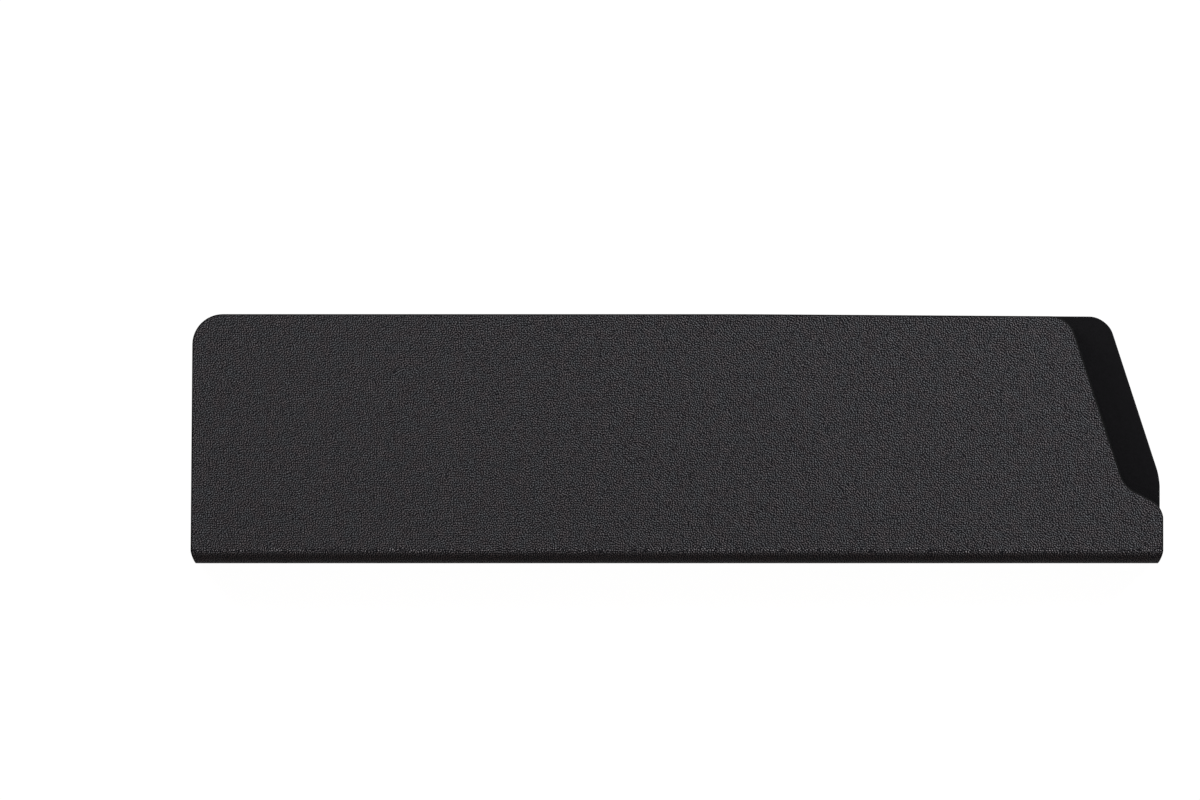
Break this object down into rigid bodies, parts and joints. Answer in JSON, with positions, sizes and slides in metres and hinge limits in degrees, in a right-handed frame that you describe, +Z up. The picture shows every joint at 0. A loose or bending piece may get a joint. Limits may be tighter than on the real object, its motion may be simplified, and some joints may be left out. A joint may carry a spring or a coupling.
{
  "type": "knife blade guard",
  "caption": "Folded plastic blade guard with a grained outer face, a black felt lining, a sprung fold, a slanted mouth and a thumb tab.",
  "frame": {"origin": "on the resting face, under the middle of the folded outline", "axes": "+X along the fold from the tip end to the mouth, +Y from the fold to the open edge, +Z up out of the front leaf, with the back leaf lying on the surface"},
  "size_m": [0.22, 0.0564, 0.006],
  "materials": {
    "grained_sheet": "charcoal black sheet with a fine pebbled grain",
    "felt": "black needled felt",
    "adhesive_film": "thin clear amber hot-melt film"
  },
  "bodies": {
    "back_half": {"back_leaf_sheet": "grained_sheet", "back_leaf_film": "adhesive_film", "back_leaf_felt": "felt", "fold_sheet": "grained_sheet", "fold_film": "adhesive_film", "fold_felt": "felt"},
    "front_half": {"front_leaf_sheet": "grained_sheet", "front_leaf_film": "adhesive_film", "front_leaf_felt": "felt"}
  },
  "joints": [
    {"name": "fold_hinge", "type": "hinge", "parent": "back_half", "child": "front_half", "pos_m": [0, -0.0252, 0.003], "axis": [1, 0, 0], "range_deg": [0, 20], "stiffness_Nm_per_rad": 1.5, "springref_deg": -3.44, "deforming": ["fold_sheet", "fold_film", "fold_felt"]}
  ]
}
